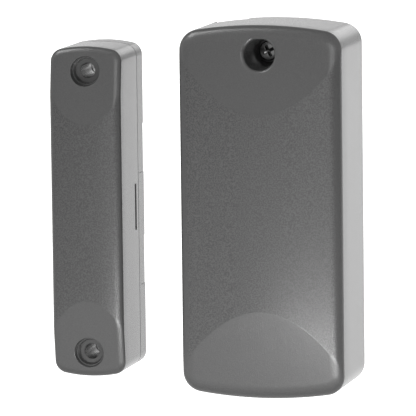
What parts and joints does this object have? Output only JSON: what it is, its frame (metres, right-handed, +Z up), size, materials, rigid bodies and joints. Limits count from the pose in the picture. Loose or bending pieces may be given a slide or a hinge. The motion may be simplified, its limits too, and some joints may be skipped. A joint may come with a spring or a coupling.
{
  "type": "wireless magnetic contact",
  "caption": "Surface-mounted radio door and window contact: a tall crowned transmitter housing with a sunk cover screw, and a slim magnet housing with sunk screw holes.",
  "frame": {"origin": "middle of the transmitter housing's back face, on the wall", "axes": "+Z up along the housings, +Y into the wall, fronts face -Y, magnet housing towards -X"},
  "size_m": [0.0822, 0.0285, 0.1016],
  "materials": {
    "housing_abs": "spark-eroded fine grain",
    "back_plate_abs": "satin moulded",
    "tray_abs": "fine grain",
    "black_screw_steel": "black zinc",
    "zinc_screw_steel": "zinc plated",
    "solder_mask": "green solder mask on glass epoxy",
    "black_polyamide": "moulded",
    "cell_sleeve": "shrunk film sleeve on a steel can",
    "nickel_strip": "nickel plated spring steel",
    "reed_glass": "green tinted glass",
    "tinned_wire": "tinned",
    "switch_black": "moulded",
    "plunger_white": "moulded",
    "tinplate": "pressed tinplate",
    "chip_epoxy": "moulded epoxy",
    "crystal_steel": "drawn steel can",
    "terminal_green": "moulded",
    "capacitor_aluminium": "bright can on a black foot",
    "header_black": "moulded",
    "led_resin": "red lens on a white body",
    "enamelled_copper": "enamelled copper",
    "ferrite": "sintered and ground"
  },
  "bodies": {
    "contact": {"transmitter_cover": "housing_abs", "transmitter_base": "back_plate_abs", "cover_screw": "black_screw_steel", "circuit_board": "solder_mask", "board_screws": "zinc_screw_steel", "battery_holder": "black_polyamide", "battery_cell": "cell_sleeve", "positive_contact": "nickel_strip", "negative_contact": "nickel_strip", "reed_switch": "reed_glass", "reed_leads": "tinned_wire", "tamper_switch": "switch_black", "radio_can": "tinplate", "microcontroller": "chip_epoxy", "quartz_crystal": "crystal_steel", "terminal_block": "terminal_green", "terminal_screws": "zinc_screw_steel", "capacitor": "capacitor_aluminium", "pin_header": "header_black", "status_led": "led_resin", "antenna_wire": "enamelled_copper", "magnet_cover": "housing_abs", "magnet_base": "tray_abs", "bar_magnet": "ferrite"},
    "tamper_plunger": {"tamper_plunger": "plunger_white"}
  },
  "joints": [
    {"name": "tamper_slide", "type": "slide", "parent": "contact", "child": "tamper_plunger", "axis": [0, 1, 0], "range_m": [0, 0.0008], "stiffness_N_per_m": 400, "springref_m": -0.0008}
  ]
}
